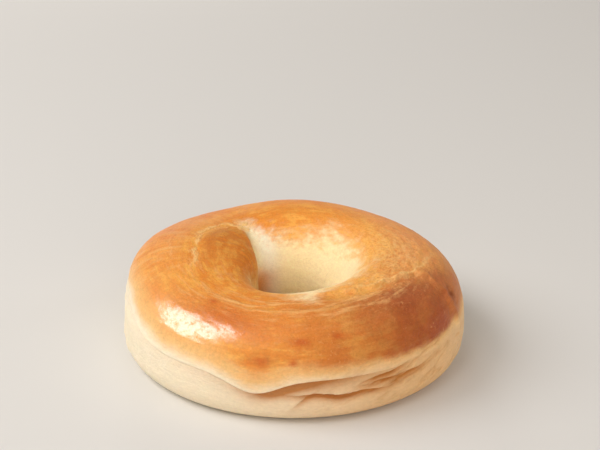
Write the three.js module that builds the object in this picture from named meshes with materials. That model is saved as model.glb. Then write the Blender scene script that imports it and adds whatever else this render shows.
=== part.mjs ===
// A plain bagel: one closed ring of baked dough, resting on its flat underside.
// Millimetres, +Z up. Angles around the ring run anticlockwise from +X, seen from above.
import * as THREE from "three";

const degree = Math.PI / 180;

// Radii and heights: a mean, and how far each swings once, twice and three times around the ring
const outerRadius = { mean: 53.5, swings: [[1.6, 0.2], [1.3, -1.2], [0.45, -0.15]] };
const crownRadius = { mean: 31.2, swings: [[2.8, -0.4]] };
const holeRadius = { mean: 15.3, swings: [[1.4, 0]] };
const crownHeight = { mean: 32.4, swings: [[-0.2, 1.7], [0.4, -1.5]] };
const waistHeight = 10.1; // where the outer wall is widest
const throatHeight = 12; // where the hole is narrowest
const undersideSink = 1.5; // how far the round underside is pressed flat

// Fullness of each quarter of the cross-section: 2 is an ellipse, more is squarer
const crustFullness = 2.4;
const wallFullness = 3.6;
const funnelFullness = 2;
const throatFullness = 2.2;

// The dough's end, tucked under: a lobe that swells into the hole from a sharp crease
const lobe = { at: 168, width: 45, swell: 6.1, fullness: 2, lift: 3.7 };
const crease = { at: 126.5, width: 4.5, leanMiddle: -9, leanThroat: 3 };
const pocket = { at: 119, width: 16, size: 2.8 }; // the hole's far corner, beside the crease
const shoulder = { at: 132, width: 22, size: 2.7 };
const dip = { at: 126.8, width: 23.7, size: 4.8 }; // the crown sags where the ends meet
const flare = { at: 20, width: 45, size: 0.1 }; // the hole opens more gently here

// The crust's lower edge folds over the pale wall: its height, and how deep it is undercut
const foldHeight = 15.2;
const foldRise = { at: 190, width: 14, size: 5.8 };
const foldTongue = { at: 260, width: 7.5, size: 4.6 };
const foldDepth = 0.2;
const foldOverhang = { at: 276, width: 13, size: 1.2 };
const foldLip = 0.6; // height from the fold's edge to the bottom of its undercut
const foldRecovery = 3.4; // height over which the wall comes back out

// A shorter second fold below the first
const secondFoldHeight = 11.4;
const secondFoldRipple = { size: 0.5, cycles: 24, crest: 278 };
const secondFoldTongue = { at: 263, width: 9, size: 3.2 };
const secondFold = { at: 287, width: 9, size: 0.9 };

// Mesh density
const stations = 104;
const creaseDensity = { at: 126, width: 14, size: 1.6 };
const tongueDensity = { at: 262, width: 22, size: 0.6 };
const rows = { wallLow: 7, wallHigh: 4, crust: 23, throat: 5, underside: 5 };

const crustColour = 0xd9914f;
const crustRoughness = 0.45;

function around(values, angle) {
  return values.swings.reduce(
    (sum, [c, s], i) => sum + c * Math.cos((i + 1) * angle) + s * Math.sin((i + 1) * angle),
    values.mean,
  );
}

// A smooth hump around the ring, 1 at its centre
function hump(angle, { at, width }) {
  return Math.exp((Math.cos(angle - at * degree) - 1) / (width * degree) ** 2);
}

function sized(angle, values) {
  return values.size * hump(angle, values);
}

// How far the lobe has swollen at this angle, for a depth into the hole from 0 to 1
function lobeAmount(angle, depth) {
  const lean = crease.leanMiddle * 4 * depth * (1 - depth) + crease.leanThroat * depth ** 2;
  const past = Math.sin(angle - (crease.at + lean) * degree);
  return 0.5 * (1 + Math.tanh(past / (crease.width * degree))) * hump(angle, lobe);
}

// One point of the cross-section. turn: 0 outer wall, 90 crown, 180 throat, 270 underside
function sectionPoint(angle, turn) {
  const c = Math.cos(turn);
  const s = Math.sin(turn);
  const depth = Math.max(-c, 0);
  const tucked = lobeAmount(angle, depth);
  const outer = around(outerRadius, angle) + sized(angle, shoulder);
  const crown = around(crownRadius, angle);
  const hole = around(holeRadius, angle) - lobe.swell * tucked + sized(angle, pocket);
  const top = around(crownHeight, angle) - sized(angle, dip);
  const middle = (waistHeight + throatHeight) / 2 + (waistHeight - throatHeight) / 2 * c
    + lobe.lift * tucked * depth;
  const halfWidth = c > 0 ? outer - crown : crown - hole;
  const halfHeight = s > 0 ? top - middle : middle + undersideSink;
  const funnel = funnelFullness + lobe.fullness * tucked - sized(angle, flare);
  const outside = s > 0 ? crustFullness : wallFullness;
  const inside = s > 0 ? funnel : throatFullness;
  const power = c > 0 ? outside : inside;
  const reach = (Math.abs(c / halfWidth) ** power + Math.abs(s / halfHeight) ** power) ** (-1 / power);
  return { radius: crown + reach * c, height: Math.max(middle + reach * s, 0) };
}

// The turn at which the outer wall reaches a given height, found by halving
function wallTurn(angle, height) {
  let low = -90 * degree;
  let high = 90 * degree;
  while (high - low > 0.001 * degree) {
    const half = (low + high) / 2;
    if (sectionPoint(angle, half).height < height) low = half;
    else high = half;
  }
  return (low + high) / 2;
}

// One closed cross-section, from the underside up the wall, over the crust and down the hole
function sectionRows(angle) {
  const foldAt = foldHeight + sized(angle, foldRise) - sized(angle, foldTongue);
  const depth = foldDepth + sized(angle, foldOverhang);
  const ripple = Math.cos(secondFoldRipple.cycles * (angle - secondFoldRipple.crest * degree));
  const secondAt = secondFoldHeight - sized(angle, secondFoldTongue)
    + secondFoldRipple.size * ripple * hump(angle, secondFold);
  const secondDepth = sized(angle, secondFold);
  const points = [];

  function addWall(height, inset) {
    const point = sectionPoint(angle, wallTurn(angle, height));
    points.push({ radius: point.radius - inset, height: point.height });
  }
  // From the table to the second fold, then on to the first: each undercut fades downwards
  for (let i = 1; i <= rows.wallLow; i++) {
    const height = (secondAt - foldLip) * (i / rows.wallLow) ** 1.5;
    const below = (secondAt - foldLip - height) / foldRecovery;
    addWall(height, secondDepth * Math.exp(-(below ** 2)));
  }
  addWall(secondAt, 0);
  for (let i = 1; i <= rows.wallHigh; i++) {
    const height = secondAt + (foldAt - foldLip - secondAt) * i / rows.wallHigh;
    const below = (foldAt - foldLip - height) / foldRecovery;
    addWall(height, depth * Math.exp(-(below ** 2)) * i / rows.wallHigh);
  }
  addWall(foldAt, 0);

  const throat = 180 * degree;
  const foldTurn = wallTurn(angle, foldAt);
  for (let i = 1; i <= rows.crust; i++) {
    points.push(sectionPoint(angle, foldTurn + (throat - foldTurn) * i / rows.crust));
  }
  for (let i = 1; i <= rows.throat; i++) {
    points.push(sectionPoint(angle, throat + 60 * degree * i / rows.throat));
  }
  for (let i = 1; i <= rows.underside; i++) {
    points.push(sectionPoint(angle, throat + (60 + 80 * i / rows.underside) * degree));
  }
  return points;
}

// Angles around the ring, closer together where the shape changes quickly
function stationAngles() {
  const fine = 3600;
  const running = [0];
  for (let i = 0; i < fine; i++) {
    const angle = (i + 0.5) / fine * 360 * degree;
    running.push(running[i] + 1 + sized(angle, creaseDensity) + sized(angle, tongueDensity));
  }
  const angles = [];
  let i = 0;
  for (let station = 0; station < stations; station++) {
    while (running[i] < running[fine] * station / stations) i++;
    angles.push(i / fine * 360 * degree);
  }
  return angles;
}

function ringGeometry() {
  const sections = stationAngles().map((angle) => ({ angle, points: sectionRows(angle) }));
  const count = sections[0].points.length;
  const positions = sections.flatMap(({ angle, points }) => points.flatMap(
    ({ radius, height }) => [radius * Math.cos(angle), radius * Math.sin(angle), height],
  ));
  const faces = [];
  for (let i = 0; i < stations; i++) {
    for (let j = 0; j < count; j++) {
      const here = i * count + j;
      const above = i * count + (j + 1) % count;
      const beside = (i + 1) % stations * count + j;
      const across = (i + 1) % stations * count + (j + 1) % count;
      faces.push(here, beside, across, here, across, above);
    }
  }
  const geometry = new THREE.BufferGeometry();
  geometry.setAttribute("position", new THREE.Float32BufferAttribute(positions, 3));
  geometry.setIndex(faces);
  geometry.computeBoundingBox();
  const { min, max } = geometry.boundingBox;
  geometry.translate(-(min.x + max.x) / 2, -(min.y + max.y) / 2, -min.z);
  geometry.computeVertexNormals();
  return geometry;
}

const crust = new THREE.MeshStandardMaterial({
  color: crustColour,
  roughness: crustRoughness,
  metalness: 0,
});
const bagel = new THREE.Mesh(ringGeometry(), crust);
bagel.name = "bagel";

const part = new THREE.Group();
part.add(bagel);

export default part;
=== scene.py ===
import math

import bpy
from mathutils import Matrix, Vector


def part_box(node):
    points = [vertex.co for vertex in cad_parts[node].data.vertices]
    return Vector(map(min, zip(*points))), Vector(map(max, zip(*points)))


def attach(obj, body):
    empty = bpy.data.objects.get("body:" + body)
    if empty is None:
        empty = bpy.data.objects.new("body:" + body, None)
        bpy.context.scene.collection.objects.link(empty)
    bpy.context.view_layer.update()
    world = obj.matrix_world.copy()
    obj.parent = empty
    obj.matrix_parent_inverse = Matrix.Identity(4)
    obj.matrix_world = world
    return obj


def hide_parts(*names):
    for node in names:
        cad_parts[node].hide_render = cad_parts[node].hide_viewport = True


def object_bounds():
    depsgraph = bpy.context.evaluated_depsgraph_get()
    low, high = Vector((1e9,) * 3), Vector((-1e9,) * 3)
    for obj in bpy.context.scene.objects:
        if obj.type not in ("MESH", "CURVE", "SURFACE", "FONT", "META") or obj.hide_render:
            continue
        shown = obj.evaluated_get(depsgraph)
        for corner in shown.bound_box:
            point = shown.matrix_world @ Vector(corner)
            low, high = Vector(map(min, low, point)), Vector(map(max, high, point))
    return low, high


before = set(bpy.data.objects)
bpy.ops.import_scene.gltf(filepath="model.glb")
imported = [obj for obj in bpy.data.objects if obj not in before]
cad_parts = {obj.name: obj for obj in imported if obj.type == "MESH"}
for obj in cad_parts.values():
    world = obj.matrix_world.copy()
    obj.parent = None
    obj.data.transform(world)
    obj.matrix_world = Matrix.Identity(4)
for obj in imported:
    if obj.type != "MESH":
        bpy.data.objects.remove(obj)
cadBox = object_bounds()
print("frame loaded")

mm = 0.001
degree = math.pi / 180
fullTurn = 2 * math.pi


class Field:
    # one socket of a node tree, usable in ordinary sums
    def __init__(self, tree, socket):
        self.tree, self.socket = tree, socket

    def math(self, operation, *others):
        return self.tree.math(operation, self, *others)

    def __add__(self, other):
        return self.math("ADD", other)

    def __mul__(self, other):
        return self.math("MULTIPLY", other)

    def __sub__(self, other):
        return self.math("SUBTRACT", other)

    def __rsub__(self, other):
        return self.tree.math("SUBTRACT", other, self)

    def __truediv__(self, other):
        return self.math("DIVIDE", other)

    def __rtruediv__(self, other):
        return self.tree.math("DIVIDE", other, self)

    def __pow__(self, other):
        return self.math("POWER", other)

    def __neg__(self):
        return self.math("MULTIPLY", -1)

    def __abs__(self):
        return self.math("ABSOLUTE")

    __radd__ = __add__
    __rmul__ = __mul__

    def atLeast(self, other):
        return self.math("MAXIMUM", other)

    def atMost(self, other):
        return self.math("MINIMUM", other)

    def over(self, other):
        return self.math("GREATER_THAN", other)

    # 0 at start, 1 at end, eased between
    def fade(self, start, end):
        return self.tree.add("ShaderNodeMapRange", {"interpolation_type": "SMOOTHSTEP"},
                             {"Value": self, "From Min": start, "From Max": end})


class Tree:
    # a node tree that is filled by adding one node at a time
    def __init__(self, nodeTree):
        self.nodeTree = nodeTree

    def add(self, kind, settings=None, values=None, output=0):
        node = self.nodeTree.nodes.new(kind)
        for name, value in (settings or {}).items():
            setattr(node, name, value)
        for name, value in (values or {}).items():
            if isinstance(value, Field):
                self.nodeTree.links.new(value.socket, node.inputs[name])
            else:
                node.inputs[name].default_value = value
        return Field(self, node.outputs[output]) if node.outputs else None

    def math(self, operation, *values):
        return self.add("ShaderNodeMath", {"operation": operation}, dict(enumerate(values)))

    def vector(self, operation, *values):
        return self.add("ShaderNodeVectorMath", {"operation": operation}, dict(enumerate(values)))

    def noise(self, where, scale, detail=2, roughness=0.5):
        return self.add("ShaderNodeTexNoise", {}, {
            "Vector": where, "Scale": scale, "Detail": detail, "Roughness": roughness})

    # a point on an upright cylinder; a noise read there runs around the ring without a seam
    def wrapped(self, angle, radius, height):
        return self.add("ShaderNodeCombineXYZ", {}, {
            "X": angle.math("COSINE") * radius, "Y": angle.math("SINE") * radius, "Z": height})

    # first where amount is 0, second where it is 1
    def blend(self, amount, first, second):
        return self.add("ShaderNodeMix", {"data_type": "RGBA"},
                        {0: amount, 6: first, 7: second}, output=2)


def hump(angle, at, width):
    # a smooth swelling around the ring, 1 at its centre
    return (((angle - at * degree).math("COSINE") - 1) / (width * degree) ** 2).math("EXPONENT")


def humps(angle, places):
    return sum(amount * hump(angle, at, width) for at, width, amount in places)


def bell(distance, width):
    # 1 at no distance, falling away on both sides
    return (-((distance / width) ** 2)).math("EXPONENT")


# The ring: lengths in mm, angles in degrees anticlockwise from +X
ring = {
    "stations": 420, "rows": 236, "seed": 4,
    "outerRadius": 53.5, "crownRadius": 31.2, "holeRadius": 15.3, "crownHeight": 32.4,
    "waistHeight": 10.1, "throatHeight": 12.0, "undersideSink": 1.5,
    "lobeSwell": 4.0, "foldHeight": 15.2, "foldDepth": 1.8, "lumps": 0.5, "wrinkles": 0.4,
}
# how far a size swings once, twice and three times around the ring, as cosine and sine
swings = {
    "outerRadius": [(1.6, 0.2), (1.3, -1.2), (0.45, -0.15)],
    "crownRadius": [(2.8, -0.4)],
    "holeRadius": [(1.4, 0.0)],
    "crownHeight": [(-0.2, 1.7), (0.4, -1.5)],
}
# where a size also swells or sinks: angle, half width, mm
swells = {
    "outerRadius": [(132, 22, 2.7)],
    "holeRadius": [(121, 16, 1.8)],
    "crownHeight": [(126.8, 23.7, -4.8)],
    "foldHeight": [(190, 14, 5.8), (260, 7.5, -4.6)],
}
# stations stand closer at this angle and opposite it; rows are closer at the fold, and the
# last ones, from this share on, lie under it
spacing = {"stations": 0.1, "closeAt": 126, "rows": 0.6, "underFold": 0.65}
# how square each quarter of the section is, 2 being an ellipse
fullness = {"crust": 2.4, "wall": 3.6, "funnel": 2.0, "throat": 2.2, "lobe": 2.0, "right": [(20, 45, -0.1)]}
lobe = {"at": 168, "width": 45, "lift": 3.7}
# the sunken join where the tucked lobe starts; it leans on the way down into the hole
join = {"at": 129.5, "width": 4.5, "leanMiddle": -3, "leanThroat": 2}
# the crust's edge: share of the fold's depth around the ring, then lengths along the section; the tint width
# and darker entries set the painted shade below the edge
fold = {"shallow": 0.04, "deeper": [(240, 14, 0.05), (277, 14, 0.65)], "edge": 0.4, "reach": 4.2,
        "lip": 0.18, "lipWidth": 1.6, "shadeTintWidth": 3.0, "darker": [(270, 6, 1.2)]}
# grooves in the pale wall below the fold; slope is in mm per degree
wallCreases = [
    {"at": 288, "width": 8.5, "height": 10.1, "slope": -0.02, "ripple": 0.3, "cycles": 24,
     "crest": 281, "depth": 2.4, "recover": 2.2},
    {"at": 304, "width": 5, "height": 14.3, "slope": 0.17, "ripple": 0.2, "cycles": 31,
     "crest": 300, "depth": 1.1, "recover": 1.3},
    {"at": 305, "width": 6, "height": 12.3, "slope": 0.05, "ripple": 0.2, "cycles": 37,
     "crest": 302, "depth": 0.9, "recover": 1.0},
    {"at": 313, "width": 6, "height": 12.2, "slope": 0.2, "ripple": 0.3, "cycles": 29,
     "crest": 311, "depth": 0.8, "recover": 1.0},
    {"at": 276, "width": 2.5, "height": 8.6, "slope": 0.7, "ripple": 0.1, "cycles": 20,
     "crest": 276, "depth": 0.6, "recover": 1.2},
]
# how sharp each crease's dent is, and how far painted shade reaches below it
creaseShape = {"edge": 0.4, "shadeTintEdge": 0.3, "shadeTintWidth": 1.9}
# fine raised lines where the crust has stretched; radius is from the hole's middle
stretchLines = [
    {"at": 262, "width": 16, "radius": 36.6, "slope": 0.07, "ripple": 0.5, "cycles": 19, "rise": 0.15},
    {"at": 290, "width": 12, "radius": 38.9, "slope": 0.03, "ripple": 0.4, "cycles": 23, "rise": 0.12},
    {"at": 318, "width": 14, "radius": 37.2, "slope": 0.25, "ripple": 0.5, "cycles": 28, "rise": 0.4},
    {"at": 246, "width": 12, "radius": 33.8, "slope": 0.05, "ripple": 0.5, "cycles": 22, "rise": 0.12},
    {"at": 276, "width": 14, "radius": 33.6, "slope": 0.08, "ripple": 0.4, "cycles": 17, "rise": 0.12},
    {"at": 212, "width": 12, "radius": 32.6, "slope": 0.04, "ripple": 1.1, "cycles": 21, "rise": 0.12},
]
lineShape = {"width": 0.55, "valley": 1.1, "valleyAt": 1.3, "valleyWidth": 1.0, "wander": 2.2}
# the tucked end is a rounded finger lying along the hole; its edge is at 1, halfWidth from its middle
finger = {"x": -17.6, "halfWidth": 8.8, "y": 4.0, "tip": 15.0, "swell": 0.9, "dome": (0.3, 1.15),
          "valley": 0.3, "valleyAt": 1.2, "valleyWidth": 0.16, "start": (-12, 2), "inside": (100, 122)}
# the ridge where the darker plateau on the right begins; "side" is where it turns outward
ridge = {"at": 325, "radius": 38.6, "slope": 0.25, "side": 14.5, "sideSlope": 0.85, "step": 0.7,
         "stepRange": (-0.3, 1.2), "stepReach": 7, "lip": 0.7, "lipAt": -0.6, "lipWidth": 1.0,
         "wander": 4.0, "jag": 2.6, "middle": 320, "width": 20}
# soft dents at a height; the two on the left sink the side in, the last is under the scorch mark
dents = [
    {"at": 184, "width": 13, "height": 19.2, "spread": 3.6, "depth": 1.4, "outerOnly": False},
    {"at": 181, "width": 15, "height": 10.8, "spread": 5.5, "depth": 1.6, "outerOnly": True},
    {"at": 343, "width": 2.0, "height": 24.8, "spread": 1.6, "depth": 0.25, "outerOnly": False},
]
# fine slanting wrinkles in the wall on the right, with painted shade along them
slant = {"at": 322, "width": 26, "rise": 4.5, "depth": 0.35, "thin": 0.03, "bottom": (2, 6),
         "top": (16, 22), "tint": 0.35}
# small wrinkles on the right shoulder, and across the tucked end
wrinkled = {"at": 345, "width": 28, "radius": 39, "spread": 9, "depth": 2.0}
crossed = {"around": 9, "along": 1.8, "depth": 1.3, "start": (85, 115)}
streakStretch = {"around": 3.6, "along": 6}
smoothBelow = (0.5, 5)  # heights over which the lumps and wrinkles set in

ringTree = Tree(bpy.data.node_groups.new("bagel ring", "GeometryNodeTree"))
interface = ringTree.nodeTree.interface
interface.new_socket("Geometry", in_out="OUTPUT", socket_type="NodeSocketGeometry")
interface.new_socket("Geometry", in_out="INPUT", socket_type="NodeSocketGeometry")
for name, value in ring.items():
    kind = "NodeSocketInt" if isinstance(value, int) else "NodeSocketFloat"
    interface.new_socket(name, in_out="INPUT", socket_type=kind)
interface.new_socket("crust", in_out="INPUT", socket_type="NodeSocketMaterial")
size = {name: ringTree.add("NodeGroupInput", output=name) for name in [*ring, "crust"]}

# where each vertex is: its angle around the ring, and its turn around the section
index = ringTree.add("GeometryNodeInputIndex")
station = (index / size["rows"] + 0.0001).math("FLOOR")  # a little more, so that it never rounds down
row = index - station * size["rows"]
evenAngle = station / size["stations"] * fullTurn
angle = evenAngle - spacing["stations"] * (2 * (evenAngle - spacing["closeAt"] * degree)).math("SINE")
share = row / size["rows"]
sweep = share * fullTurn - spacing["rows"] * (share * fullTurn).math("SINE")
underFold = share.over(spacing["underFold"])
sinceFold = sweep - underFold * fullTurn


def around(name):
    total = size[name]
    for times, (c, s) in enumerate(swings.get(name, []), 1):
        total = total + (angle * times).math("COSINE") * c + (angle * times).math("SINE") * s
    if name in swells:
        total = total + humps(angle, swells[name])
    return total


outer = around("outerRadius")
crown = around("crownRadius")
top = around("crownHeight")
hole = around("holeRadius")
foldUp = around("foldHeight") - size["waistHeight"]
crustPower = fullness["crust"]
foldReach = (1 - (foldUp / (top - size["waistHeight"])) ** crustPower) ** (1 / crustPower)
foldTurn = foldUp.math("ARCTAN2", (outer - crown) * foldReach)
turn = foldTurn + sweep

# each quarter of the section is part of a squared ellipse around the crown's circle
c = turn.math("COSINE")
s = turn.math("SINE")
outside = c.over(0)
upper = s.over(0)
depth = (-c).atLeast(0)
lean = (join["leanMiddle"] * 4 * depth * (1 - depth) + join["leanThroat"] * depth ** 2) * degree
pastJoin = (angle - join["at"] * degree - lean).math("SINE")
tucked = ((0.5 + 0.5 * (pastJoin / (join["width"] * degree)).math("TANH"))
          * hump(angle, lobe["at"], lobe["width"]))
inner = hole - size["lobeSwell"] * tucked
middle = ((size["waistHeight"] + size["throatHeight"]) / 2
          + (size["waistHeight"] - size["throatHeight"]) / 2 * c + lobe["lift"] * tucked * depth)
halfWidth = crown - inner + outside * (outer - crown - (crown - inner))
below = middle + size["undersideSink"]
halfHeight = below + upper * (top - middle - below)
funnel = fullness["funnel"] + fullness["lobe"] * tucked + humps(angle, fullness["right"])
power = (outside * (fullness["wall"] + upper * (crustPower - fullness["wall"]))
         + (1 - outside) * (fullness["throat"] + upper * (funnel - fullness["throat"])))
reach = (abs(c / halfWidth) ** power + abs(s / halfHeight) ** power) ** (-1 / power)
radius = crown + reach * c
height = (middle + reach * s).atLeast(0)
alongFold = sinceFold * reach  # distance from the fold's edge, negative below it

circle = ringTree.wrapped(angle, radius, height)
wobble = ringTree.noise(circle, scale=0.22) - 0.5

# relief, in mm outwards; the groove mark is painted shade, darkening the folds and wrinkles brown
foldSize = size["foldDepth"] * (fold["shallow"] + humps(angle, fold["deeper"]))
undercut = foldSize * underFold * (-alongFold / fold["edge"]).atMost(1) * bell(alongFold, fold["reach"])
relief = fold["lip"] * foldSize * (1 - underFold) * bell(alongFold, fold["lipWidth"]) - undercut
# painted shade below the fold's edge
grooveShade = foldSize * underFold * bell(alongFold, fold["shadeTintWidth"]) * (1 + humps(angle, fold["darker"]))
for line in wallCreases:
    lineHeight = (line["height"] + line["slope"] / degree * (angle - line["at"] * degree)
                  + line["ripple"] * (line["cycles"] * (angle - line["crest"] * degree)).math("COSINE"))
    strength = line["depth"] * hump(angle, line["at"], line["width"]) * outside
    underLine = (lineHeight - height).atLeast(0)
    sharp = (underLine / creaseShape["edge"]).atMost(1)
    sharpShade = (underLine / creaseShape["shadeTintEdge"]).atMost(1)
    relief = relief - strength * sharp * bell(underLine, line["recover"])
    # painted shade below the crease
    grooveShade = grooveShade + strength * sharpShade * bell(underLine, creaseShape["shadeTintWidth"])
for line in stretchLines:
    lineRadius = (line["radius"] + line["slope"] / degree * (angle - line["at"] * degree)
                  + line["ripple"] * (line["cycles"] * angle).math("SINE"))
    fromLine = radius - lineRadius + lineShape["wander"] * wobble
    strength = line["rise"] * hump(angle, line["at"], line["width"]) * upper
    valley = lineShape["valley"] * bell(fromLine + lineShape["valleyAt"], lineShape["valleyWidth"])
    relief = relief + strength * (bell(fromLine, lineShape["width"]) - valley)


def fingerDistance(x, y):
    fingerSide = (x - finger["x"]) / finger["halfWidth"]
    fingerTip = (y - finger["y"]).atLeast(0) / finger["tip"]
    return (fingerSide ** 2 + fingerTip ** 2) ** 0.5


forward = angle.math("SINE") * radius
fingerEdge = fingerDistance(angle.math("COSINE") * radius, forward)
onFinger = upper * forward.fade(*finger["start"]) * (1 - (turn / degree).fade(*finger["inside"]))
fingerValley = finger["valley"] * bell(fingerEdge - finger["valleyAt"], finger["valleyWidth"])
relief = relief + onFinger * (finger["swell"] * (1 - fingerEdge.fade(*finger["dome"])) - fingerValley)
for dent in dents:
    sunk = dent["depth"] * hump(angle, dent["at"], dent["width"])
    sunk = sunk * bell(height - dent["height"], dent["spread"])
    relief = relief - (sunk * outside if dent["outerOnly"] else sunk)

fromRight = (angle - ridge["at"] * degree).math("SINE") / degree
rough = ridge["wander"] * wobble + ridge["jag"] * (ringTree.noise(circle, scale=0.5) - 0.5)
pastRidge = radius - ridge["radius"] - ridge["slope"] * fromRight + rough
plateau = pastRidge.atMost((ridge["side"] - fromRight) * ridge["sideSlope"] + rough)
onPlateau = hump(angle, ridge["middle"], ridge["width"]) * upper
relief = relief + onPlateau * (
    ridge["lip"] * bell(plateau - ridge["lipAt"], ridge["lipWidth"])
    - ridge["step"] * plateau.fade(*ridge["stepRange"]) * bell(plateau, ridge["stepReach"]))

# the seed is spread differently for each pattern, so that they differ
streakHeight = sinceFold * streakStretch["along"]
streakSpace = ringTree.wrapped(angle, streakStretch["around"], streakHeight + size["seed"] * 5)
slantDrop = slant["rise"] * (angle - slant["at"] * degree).math("SINE")
slantSpace = ringTree.wrapped(angle, streakStretch["around"], streakHeight - slantDrop + size["seed"] * 4)
slantNoise = ringTree.noise(slantSpace, scale=1.1, detail=3) - 0.5
slantLine = (bell(slantNoise, slant["thin"]) * hump(angle, slant["at"], slant["width"]) * outside
             * height.fade(*slant["bottom"]) * (1 - height.fade(*slant["top"])))
relief = relief - slant["depth"] * slantLine
# painted shade along the slanting wrinkle
grooveShade = grooveShade + slant["tint"] * slantLine

aboveTable = height.fade(*smoothBelow)
lumpNoise = ringTree.noise(circle, scale=0.055, detail=1) - 0.5
wrinkleNoise = ringTree.noise(streakSpace, scale=1.6, detail=4, roughness=0.6) - 0.5
shoulder = (hump(angle, wrinkled["at"], wrinkled["width"]) * upper
            * bell(radius - wrinkled["radius"], wrinkled["spread"]))
shoulderNoise = ringTree.noise(streakSpace, scale=2.0, detail=4, roughness=0.6) - 0.5
relief = relief + wrinkled["depth"] * shoulder * shoulderNoise
crossSpace = ringTree.wrapped(angle, crossed["around"], sinceFold * crossed["along"] + size["seed"] * 3)
crossNoise = ringTree.noise(crossSpace, scale=1.0) - 0.5
crossing = crossed["depth"] * tucked * (turn / degree).fade(*crossed["start"])
unevenness = crossing * crossNoise + size["lumps"] * lumpNoise + size["wrinkles"] * wrinkleNoise
relief = relief + unevenness * aboveTable

# the tube is a closed grid of quads; its vertices are then sent to their places
loop = ringTree.add("GeometryNodeCurvePrimitiveCircle", {}, {"Resolution": size["stations"]})
hoop = ringTree.add("GeometryNodeCurvePrimitiveCircle", {}, {"Resolution": size["rows"], "Radius": 0.1})
tube = ringTree.add("GeometryNodeCurveToMesh", {}, {"Curve": loop, "Profile Curve": hoop})
tube = ringTree.add("GeometryNodeFlipFaces", {}, {0: tube})  # the tube comes inside out
metres = ringTree.vector("MULTIPLY", circle, (mm, mm, mm))
marked = ringTree.add("GeometryNodeSetPosition", {}, {"Geometry": tube, "Position": metres})
marks = {"alongFold": alongFold, "turn": sinceFold + foldTurn, "tucked": tucked, "grooveShade": grooveShade,
         "pastRidge": pastRidge}
for name, value in marks.items():
    marked = ringTree.add("GeometryNodeStoreNamedAttribute", {"data_type": "FLOAT", "domain": "POINT"},
                          {"Geometry": marked, "Name": name, "Value": value})
normal = ringTree.add("GeometryNodeInputNormal")
offset = ringTree.add("ShaderNodeVectorMath", {"operation": "SCALE"}, {0: normal, "Scale": relief * mm})
raised = ringTree.add("GeometryNodeSetPosition", {}, {"Geometry": marked, "Offset": offset})
smooth = ringTree.add("GeometryNodeSetShadeSmooth", {}, {0: raised})
real = ringTree.add("GeometryNodeRealizeInstances", {}, {0: smooth})
finished = ringTree.add("GeometryNodeSetMaterial", {}, {0: real, "Material": size["crust"]})
ringTree.add("NodeGroupOutput", {}, {0: finished})
print("ring tree built:", len(ringTree.nodeTree.nodes), "nodes")


def linear(red, green, blue):
    # a colour picked on a screen, as the shader wants it
    def channel(v):
        v = v / 255
        return v / 12.92 if v < 0.04045 else ((v + 0.055) / 1.055) ** 2.4
    return channel(red), channel(green), channel(blue), 1


colours = {
    "dough": linear(248, 234, 206),
    "warmDough": linear(238, 192, 136),
    # painted light on the hole's wall beside the lobe
    "paintedLightCream": linear(255, 249, 228),
    "holeDough": linear(255, 233, 182),
    "peach": linear(246, 196, 128),
    "honey": linear(248, 176, 80),
    "gold": linear(238, 148, 54),
    "amber": linear(212, 108, 30),
    "ember": linear(200, 92, 26),
    "tan": linear(192, 112, 44),
    # a rosy, paler tone: partly the crust's colour, partly painted sheen on the outer slopes
    "rosySheen": linear(232, 148, 98),
    # brown crust, also painted shade past the right ridge
    "brownAndShade": linear(153, 57, 7),
    "scorched": linear(122, 52, 22),
    "toasted": linear(238, 178, 92),
    # painted shade in the folds and wrinkles
    "fold": linear(190, 112, 26),
    # painted shade where the lobe shadows the hole's wall at its foot
    "footShade": linear(208, 118, 24),
    # pale stretched dough, also the colour of the painted glints
    "stretched": linear(255, 206, 134),
}
# where each tint lies around the ring and how strong it is there, in degrees; around the section it
# lies about a turn, or fades out over "until", where 0 is the outer wall, 90 the top and 180 the hole
tints = {
    "slowLeft": {"at": 222, "width": 34, "amount": 0.3},
    "rightFront": {"at": 318, "width": 24},
    "honeyRight": {"at": 25, "width": 50, "amount": 0.4},
    "honeyLeft": {"at": 190, "width": 40, "amount": 0.35, "until": (70, 90)},
    # browner past the ridge, partly real browning and partly painted shade
    "rightBrownAndShade": {"at": 330, "width": 28},
    "backSide": {"at": 160, "width": 26, "until": (65, 92)},
    "shoulder": {"at": 355, "width": 34},
    "amberCrown": {"at": 246, "width": 14, "amount": 0.9, "turn": 58, "spread": 16},
    "streakyBack": {"at": 30, "width": 60, "amount": 0.35},
    # rosy tone on the outer slopes, partly the crust's colour and partly painted sheen
    "rosySheenBack": {"at": 62, "width": 42, "until": (62, 95)},
    "rosySheenLeft": {"at": 150, "width": 22, "amount": 0.8, "until": (62, 95)},
    "rosySheenRight": {"at": 15, "width": 34, "amount": 0.35, "until": (75, 100)},
    "underShine": {"at": 233, "width": 15, "amount": 0.75, "turn": 36, "spread": 13},
    "warmWall": {"at": 320, "width": 36, "amount": 0.95},
    # painted light: a paler streak on the hole's wall beside the lobe
    "paintedLightStreak": {"at": 110, "width": 9, "amount": 0.8},
    "ridgeLip": {"at": 333, "width": 18, "amount": 0.75},
    # painted shade at the lobe's foot, where it shadows the hole's wall
    "footShade": {"at": 124, "width": 14, "amount": 0.85},
    "shine": {"at": 234, "width": 28, "amount": 0.92, "turn": 43, "spread": 26},
}
# darker baked spots: angle around the ring, turn around the section, and their half widths
bakedSpots = [
    (234, 72, 1.5, 3), (276, 44, 2.2, 4), (262, 29, 3.5, 4), (289, 46, 1.5, 3), (273, 29, 1.2, 3),
]
scorchMark = {"at": 343.5, "width": 1.3, "turn": 36, "spread": 5}
spotEdges = {"spot": 0.1, "scorch": 0.3, "amount": 0.8}
# where the pale hole starts: a turn, moved at some angles and by the lobe
holeEdge = {"turn": 117, "moved": [(0, 30, -7), (306, 22, -17), (278, 14, -18), (122, 9, -25.78)],
            "lobe": 42.97, "patches": 0.9, "streaks": 0.8, "range": (-0.16, 0.4)}
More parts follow.
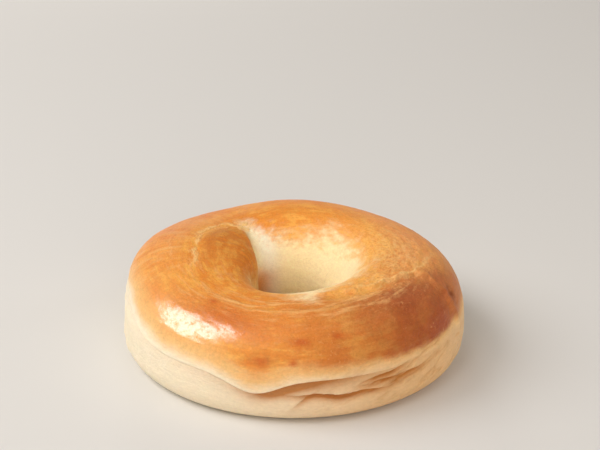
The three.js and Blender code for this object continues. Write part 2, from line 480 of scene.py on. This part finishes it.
# mm above the fold over which the crust sets in and deepens, and how uneven that is; then its tone,
# from honey at 0 to amber at 1
bake = {"starts": (0, 3.2), "deepens": (2, 8.5), "patchy": 3.5, "streaky": 3,
        "tone": 0.5, "tonePatches": 2.4, "toneStreaks": 1.3, "toneLong": 1.6, "toneMottle": 1.0,
        "amber": (0.1, 0.95), "gold": (0.3, 0.5), "goldAmount": 0.6}
# the tucked end is tan in the middle and has a rough pale rim; edges as shares of the finger
tip = {"start": (-17, 0), "turn": (68, 84), "tan": 0.66, "tanInside": -0.26, "inside": (92, 118),
       "soft": (0.7, 1.25), "patchy": 0.7, "rim": 2.2, "rimAt": 1.22, "rimWidth": 0.11,
       "rimStreaks": 0.9, "rimMottle": 0.5, "rimEnds": (104, 116)}
# brown past the ridge, partly real browning and partly painted shade where the side turns from the light, in
# mm
brownAndShadeSide = {"range": (-2, 6.5), "mottle": 4, "patches": 6, "amount": 0.95, "patchy": 1.2}
# how much light and dark streaks show, and the noise range they are taken from
backStreaks = {"light": (-0.02, 0.18), "lightAmount": 0.75, "dark": (-0.2, 0.02), "darkAmount": 0.5}
shoulderStreaks = {"radius": 36, "spread": 10, "least": 0.4, "light": (0.5, 0.64), "lightAmount": 0.5,
                   "dark": (0.36, 0.48), "darkAmount": 0.45}
crownStreaks = {"range": (0.0, 0.2), "turn": (48, 70), "amount": 0.35}
# how much of the rosy tone and painted sheen shows
rosySheenAmount = 0.6
lobeToast = {"amount": 0.7, "streaks": 0.6, "range": (0.0, 0.2), "least": 0.3}
# pale stretched lines, in mm, broken up by noise
stretch = {"width": 0.6, "streaks": 3, "patches": 2.5, "mottle": 2.2, "starts": (50, 60), "ends": (108, 122),
           "broken": (-0.14, 0.06), "brokenLong": 0.8, "brokenMottle": 0.4, "amount": 0.48, "most": 0.8,
           "ridgeAt": -0.7, "ridgeWidth": 0.5}
# how strongly painted shade darkens the folds and wrinkles
foldShadeTint = {"amount": 0.8, "most": 0.85}
# turns around the section over which the painted shade at the lobe's foot sets in
footShadeRange = (132, 172)
# tiny pale specks that are painted glints: their size, where they lie, and how strong
glintSpecks = {"size": (0.13, 0.2), "where": (-0.02, 0.12), "streaks": 0.5, "amount": 0.13, "right": 0.09}
# how far each noise darkens and lightens the colour
shading = {"fine": 0.26, "mottle": 0.16, "mottleRight": 0.25, "onDough": 0.4, "onCrust": 0.6, "skin": 0.24}
# the hole's middle stands off the box's middle, in mm
holeOffset = (2.29, 0.63)
# the skin: what is the same all over, and the bump's heights
skinLook = {"roughness": 0.75, "smoothed": 0.25, "ior": 1.38, "coatRoughness": 0.2, "coatIor": 2.2,
            "leastGlaze": 0.08, "glaze": 0.95, "pores": 3.5, "scatter": 0.15,
            "scatterRadius": (1.0, 0.5, 0.25), "scatterScale": 0.0015, "bump": 0.6, "bumpDistance": 0.0005,
            "grain": 0.8, "grainRight": 0.9, "mottle": 0.7, "streaks": 0.6, "stretched": 0.5}

crust = bpy.data.materials.new("baked crust")
crust.use_nodes = True
crust.node_tree.nodes.clear()
look = Tree(crust.node_tree)


def stored(name):
    return look.add("ShaderNodeAttribute", {"attribute_name": name}, {}, output=2)


place = look.add("ShaderNodeTexCoord", {}, {}, output=3)
fromHole = look.vector("ADD", place, (holeOffset[0] * mm, holeOffset[1] * mm, 0))
along, across = (look.add("ShaderNodeSeparateXYZ", {}, {0: fromHole}, output=axis) / mm for axis in (0, 1))
ringAngle = across.math("ARCTAN2", along)
ringRadius = (along * along + across * across) ** 0.5
fromFold, sectionTurn = stored("alongFold"), stored("turn")
lobeMask, grooveShadeMask, fromRidge = stored("tucked"), stored("grooveShade"), stored("pastRidge")
turnDegrees = sectionTurn / degree


def tint(name):
    spot = tints[name]
    mask = spot.get("amount", 1) * hump(ringAngle, spot["at"], spot["width"])
    if "turn" in spot:
        mask = mask * bell(turnDegrees - spot["turn"], spot["spread"])
    if "until" in spot:
        mask = mask * (1 - turnDegrees.fade(*spot["until"]))
    return mask


# noises, from broad to fine; the streaks run around the ring
patches = look.noise(place, scale=55, detail=4, roughness=0.55) - 0.5
streaks = look.wrapped(ringAngle, 5, sectionTurn * 6)
longWay = look.wrapped(ringAngle, 2.5, sectionTurn * 9)
crossWay = look.wrapped(ringAngle, 16, sectionTurn * 2.2)
streaky = look.noise(streaks, scale=1.3, detail=5, roughness=0.6) - 0.5
longStreaks = look.noise(longWay, scale=1.6, detail=3, roughness=0.55) - 0.5
crossStreaks = look.noise(crossWay, scale=1.0, detail=3, roughness=0.55) - 0.5
creased = look.noise(streaks, scale=3, detail=4, roughness=0.6)
skin = look.noise(streaks, scale=6, detail=4, roughness=0.65)
mottle = look.noise(place, scale=260, detail=3, roughness=0.6) - 0.5
grain = look.noise(place, scale=800, detail=3, roughness=0.65)
# the noise for the painted glints comes next
glintNoise = look.noise(place, scale=1000, detail=1) - 0.5
fine = look.noise(place, scale=1400, roughness=0.6) - 0.5

# baked from the fold upwards, and pale again inside the hole
edge = (fromFold + bake["patchy"] * patches + bake["streaky"] * streaky) * (1 - tint("slowLeft"))
baked = edge.fade(*bake["starts"])
rightFront = tint("rightFront")
deep = (edge * (1 + rightFront)).fade(*bake["deepens"])
holeStart = (holeEdge["turn"] + humps(ringAngle, holeEdge["moved"]) + holeEdge["lobe"] * lobeMask) * degree
pastHoleEdge = sectionTurn - holeStart + holeEdge["patches"] * patches + holeEdge["streaks"] * streaky
inHole = pastHoleEdge.fade(*holeEdge["range"])

# the crust's own tone, streaked between honey and amber
tone = (bake["tone"] + bake["tonePatches"] * patches + bake["toneStreaks"] * streaky
        + bake["toneLong"] * longStreaks + bake["toneMottle"] * mottle)
golden = look.blend(tone.fade(*bake["amber"]), colours["honey"], colours["amber"])
golden = look.blend(tone.fade(*bake["gold"]) * bake["goldAmount"], golden, colours["gold"])
golden = look.blend(tint("honeyRight") + tint("honeyLeft"), golden, colours["honey"])

# the tucked end, tan and matte
tipEdge = fingerDistance(along, across)
onTip = across.fade(*tip["start"]) * turnDegrees.fade(*tip["turn"])
tipTan = tip["tan"] + tip["tanInside"] * turnDegrees.fade(*tip["inside"])
tipTan = tipTan * (1 - (tipEdge + tip["patchy"] * patches).fade(*tip["soft"]))
golden = look.blend(onTip * tipTan, golden, colours["tan"])

# brown past the ridge, partly real browning and partly painted shade, streaked across at the back, wrinkled
# on the right shoulder
intoBrownAndShade = fromRidge + brownAndShadeSide["mottle"] * mottle + brownAndShadeSide["patches"] * patches
rightBrownAndShade = intoBrownAndShade.fade(*brownAndShadeSide["range"]) * tint("rightBrownAndShade")
rightBrownAndShadeMix = (rightBrownAndShade * (brownAndShadeSide["amount"] + brownAndShadeSide["patchy"] * patches)).atMost(1)
golden = look.blend(rightBrownAndShadeMix, golden, colours["brownAndShade"])
backSide = tint("backSide")
backLight = crossStreaks.fade(*backStreaks["light"]) * backStreaks["lightAmount"]
backDark = (1 - crossStreaks.fade(*backStreaks["dark"])) * backStreaks["darkAmount"]
golden = look.blend(backSide * backLight, golden, colours["peach"])
golden = look.blend(backSide * backDark, golden, colours["amber"])
onShoulder = tint("shoulder") * bell(ringRadius - shoulderStreaks["radius"], shoulderStreaks["spread"])
shoulderLight = (shoulderStreaks["least"]
                 + shoulderStreaks["lightAmount"] * creased.fade(*shoulderStreaks["light"]))
shoulderDark = (1 - creased.fade(*shoulderStreaks["dark"])) * shoulderStreaks["darkAmount"]
golden = look.blend(onShoulder * shoulderLight, golden, colours["peach"])
golden = look.blend(onShoulder * shoulderDark, golden, colours["amber"])
golden = look.blend(tint("amberCrown"), golden, colours["amber"])
lightStreaks = (longStreaks.fade(*crownStreaks["range"]) * turnDegrees.fade(*crownStreaks["turn"])
                * (1 - onTip) * (crownStreaks["amount"] + tint("streakyBack")))
golden = look.blend(lightStreaks, golden, colours["stretched"])
# a rosy tone on the outer slopes, partly the crust's colour and partly painted sheen, streaked
rosySheenSide = tint("rosySheenBack") + tint("rosySheenLeft") + tint("rosySheenRight")
golden = look.blend((rosySheenSide * (rosySheenAmount + streaky)).atMost(1), golden, colours["rosySheen"])
golden = look.blend(tint("underShine"), golden, colours["honey"])
golden = look.blend(deep, colours["peach"], golden)
for spotAngle, spotTurn, spotWidth, spotHeight in bakedSpots:
    fromSpot = sectionTurn - spotTurn * degree + spotEdges["spot"] * mottle
    spot = hump(ringAngle, spotAngle, spotWidth) * bell(fromSpot, spotHeight * degree)
    golden = look.blend(spot * spotEdges["amount"], golden, colours["ember"])
fromScorch = sectionTurn - scorchMark["turn"] * degree + spotEdges["scorch"] * mottle
scorch = hump(ringAngle, scorchMark["at"], scorchMark["width"])
scorch = scorch * bell(fromScorch, scorchMark["spread"] * degree)
golden = look.blend(scorch * spotEdges["amount"], golden, colours["scorched"])

# the dough of the wall and of the hole
wall = look.blend(tint("warmWall"), colours["dough"], colours["warmDough"])
body = look.blend(baked, wall, golden)
toast = lobeToast["amount"] - lobeToast["streaks"] * crossStreaks.fade(*lobeToast["range"])
toast = lobeMask * toast.atLeast(lobeToast["least"])
insideTone = look.blend(toast, colours["holeDough"], colours["toasted"])
# painted light: the wall beside the lobe is made paler, as if lit
insideTone = look.blend(tint("paintedLightStreak") * (1 - lobeMask), insideTone, colours["paintedLightCream"])
body = look.blend(inHole, body, insideTone)

# pale lines where the crust has stretched, along the ridge and around the tucked end
drift = stretch["streaks"] * streaky + stretch["patches"] * patches + stretch["mottle"] * mottle
upperCrust = turnDegrees.fade(*stretch["starts"]) * (1 - turnDegrees.fade(*stretch["ends"]))
fromRim = tipEdge - tip["rimAt"] + tip["rimStreaks"] * streaky + tip["rimMottle"] * mottle
rimMask = onTip * (1 - turnDegrees.fade(*tip["rimEnds"])) * bell(fromRim, tip["rimWidth"])
stretchMask = tip["rim"] * rimMask
for line in stretchLines:
    middleOfLine = line["radius"] + line["slope"] / degree * (ringAngle - line["at"] * degree).math("SINE")
    thin = bell(ringRadius - middleOfLine + drift, stretch["width"])
    stretchMask = stretchMask + thin * hump(ringAngle, line["at"], line["width"]) * upperCrust
breaks = patches + stretch["brokenLong"] * longStreaks + stretch["brokenMottle"] * mottle
stretchMask = stretchMask * breaks.fade(*stretch["broken"])
ridgeLip = tint("ridgeLip") * bell(fromRidge - stretch["ridgeAt"], stretch["ridgeWidth"]) * upperCrust
body = look.blend(ridgeLip, body, colours["stretched"])
body = look.blend((stretchMask * stretch["amount"]).atMost(stretch["most"]), body, colours["stretched"])

# painted shade in the folds and wrinkles and at the lobe's foot, then tiny painted glints
body = look.blend((grooveShadeMask * foldShadeTint["amount"]).atMost(foldShadeTint["most"]), body, colours["fold"])
# painted shade where the lobe shadows the hole's wall at its foot
footShade = tint("footShade") * ((sectionTurn + patches) / degree).fade(*footShadeRange)
body = look.blend(footShade, body, colours["footShade"])
# tiny painted glints on the baked crust
glintWhere = (patches + glintSpecks["streaks"] * streaky).fade(*glintSpecks["where"]) * baked * (1 - inHole)
glintAmount = (glintSpecks["amount"] + glintSpecks["right"] * rightFront) * glintNoise.fade(*glintSpecks["size"])
body = look.blend(glintWhere * glintAmount, body, colours["stretched"])

# noise darkens and lightens all of it a little
grainy = shading["fine"] * fine + (shading["mottle"] + shading["mottleRight"] * rightFront) * mottle
shade = 1 + grainy * (shading["onDough"] + shading["onCrust"] * baked) + shading["skin"] * (skin - 0.5)
shadeColour = look.add("ShaderNodeCombineColor", {}, {0: shade, 1: shade, 2: shade})
colour = look.add("ShaderNodeMix", {"data_type": "RGBA", "blend_type": "MULTIPLY"},
                  {0: 1.0, 6: body, 7: shadeColour}, output=2)

# an egg-wash gloss on the baked crust, broken by pores
gloss = baked * (1 - inHole) * (1 - scorch)
glaze = (skinLook["leastGlaze"] + tint("shine")) * (skinLook["glaze"] + skinLook["pores"] * (grain - 0.5))
bumpHeight = ((skinLook["grain"] + skinLook["grainRight"] * rightFront) * grain + skinLook["mottle"] * mottle
              + skinLook["streaks"] * skin + skinLook["stretched"] * stretchMask)
bump = look.add("ShaderNodeBump", {}, {
    "Strength": skinLook["bump"], "Distance": skinLook["bumpDistance"], "Height": bumpHeight})
shader = look.add("ShaderNodeBsdfPrincipled", {}, {
    "Base Color": colour, "Roughness": skinLook["roughness"] - skinLook["smoothed"] * gloss, "Normal": bump,
    "Coat Weight": (gloss * glaze).atMost(1).atLeast(0), "Coat Roughness": skinLook["coatRoughness"],
    "Coat IOR": skinLook["coatIor"], "IOR": skinLook["ior"], "Subsurface Weight": skinLook["scatter"],
    "Subsurface Radius": skinLook["scatterRadius"], "Subsurface Scale": skinLook["scatterScale"]})
look.add("ShaderNodeOutputMaterial", {}, {"Surface": shader})
print("crust built:", len(crust.node_tree.nodes), "nodes")

bagel = bpy.data.objects.new("bagelCrust", bpy.data.meshes.new("bagel seed"))
bpy.context.collection.objects.link(bagel)
modifier = bagel.modifiers.new("ring", "NODES")
modifier.node_group = ringTree.nodeTree
given = {**ring, "crust": crust}
for item in interface.items_tree:
    if item.in_out == "INPUT" and item.name in given:
        modifier[item.identifier] = given[item.name]
evaluated = bagel.evaluated_get(bpy.context.evaluated_depsgraph_get())
mesh = bpy.data.meshes.new_from_object(evaluated)
bagel.modifiers.clear()
bagel.data = mesh

# the ring's formula is centred on its hole, the part on its box
cadLow, cadHigh = (Vector(corner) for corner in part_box("bagel"))
low = Vector([min(v.co[i] for v in mesh.vertices) for i in range(3)])
high = Vector([max(v.co[i] for v in mesh.vertices) for i in range(3)])
meshMiddle = (low + high) / 2
shift = Matrix.Translation(((cadLow.x + cadHigh.x) / 2, (cadLow.y + cadHigh.y) / 2, cadLow.z))
mesh.transform(shift @ Matrix.Translation((-meshMiddle.x, -meshMiddle.y, -low.z)))
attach(bagel, "root")
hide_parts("bagel")
print("bagel built:", len(mesh.polygons), "faces, hole stands off by", meshMiddle.xy / mm, "mm")

studio = {"floorSize": 3.0, "floorGap": 0.0001, "floorColour": (0.72, 0.71, 0.69, 1),
          "floorRoughness": 0.85, "world": (0.92, 0.84, 0.76, 1), "worldStrength": 0.18}
floorHeight = cadBox[0][2] - studio["floorGap"]
bpy.ops.mesh.primitive_plane_add(size=studio["floorSize"], location=(0, 0, floorHeight))
floor = bpy.context.object
floor.name = "floor"
floorPaint = bpy.data.materials.new("pale floor")
floorPaint.use_nodes = True
floorShader = floorPaint.node_tree.nodes["Principled BSDF"]
floorShader.inputs["Base Color"].default_value = studio["floorColour"]
floorShader.inputs["Roughness"].default_value = studio["floorRoughness"]
floor.data.materials.append(floorPaint)

world = bpy.data.worlds.new("studio")
world.use_nodes = True
sky = world.node_tree.nodes["Background"]
sky.inputs["Color"].default_value = studio["world"]
sky.inputs["Strength"].default_value = studio["worldStrength"]
bpy.context.scene.world = world

# where each light stands: azimuth and height in degrees, then metres and watts
lights = {
    "key": {"azimuth": 180, "height": 44, "distance": 1.2, "width": 0.85, "power": 9.0,
            "colour": (1, 0.98, 0.96)},
    "left front": {"azimuth": 230, "height": 56, "distance": 1.2, "width": 0.7, "power": 3.8,
                   "colour": (1, 0.96, 0.91)},
    "front fill": {"azimuth": 282, "height": 22, "distance": 1.2, "width": 0.9, "power": 4.9,
                   "colour": (1, 0.93, 0.85)},
    "right fill": {"azimuth": 335, "height": 55, "distance": 1.2, "width": 0.9, "power": 1.5,
                   "colour": (1, 0.92, 0.84)},
    "back rim": {"azimuth": 100, "height": 8, "distance": 0.9, "width": 0.25, "power": 2.4,
                 "colour": (1, 0.94, 0.88)},
    "right rim": {"azimuth": 25, "height": 8, "distance": 0.9, "width": 0.25, "power": 1.5,
                  "colour": (1, 0.94, 0.88)},
}
for name, light in lights.items():
    lamp = bpy.data.lights.new(name, "AREA")
    lamp.shape, lamp.size = "DISK", light["width"]
    lamp.energy, lamp.color = light["power"], light["colour"]
    stand = bpy.data.objects.new(name, lamp)
    azimuth, rise = light["azimuth"] * degree, light["height"] * degree
    level = math.cos(rise)
    direction = Vector((math.cos(azimuth) * level, math.sin(azimuth) * level, math.sin(rise)))
    stand.location = direction * light["distance"]
    stand.rotation_euler = direction.to_track_quat("Z", "Y").to_euler()
    stand.visible_glossy = name == "key"  # one highlight only
    bpy.context.collection.objects.link(stand)

cameraSettings = {"place": (2.28, -402.0, 229.3), "down": 25.18, "lens": 85, "sensor": 36}
lens = bpy.data.cameras.new("camera")
lens.lens, lens.sensor_width = cameraSettings["lens"], cameraSettings["sensor"]
camera = bpy.data.objects.new("camera", lens)
camera.location = Vector(cameraSettings["place"]) * mm
camera.rotation_euler = ((90 - cameraSettings["down"]) * degree, 0, 0)
bpy.context.collection.objects.link(camera)
bpy.context.scene.camera = camera
bpy.context.scene.view_settings.view_transform = "Standard"
print("studio ready")
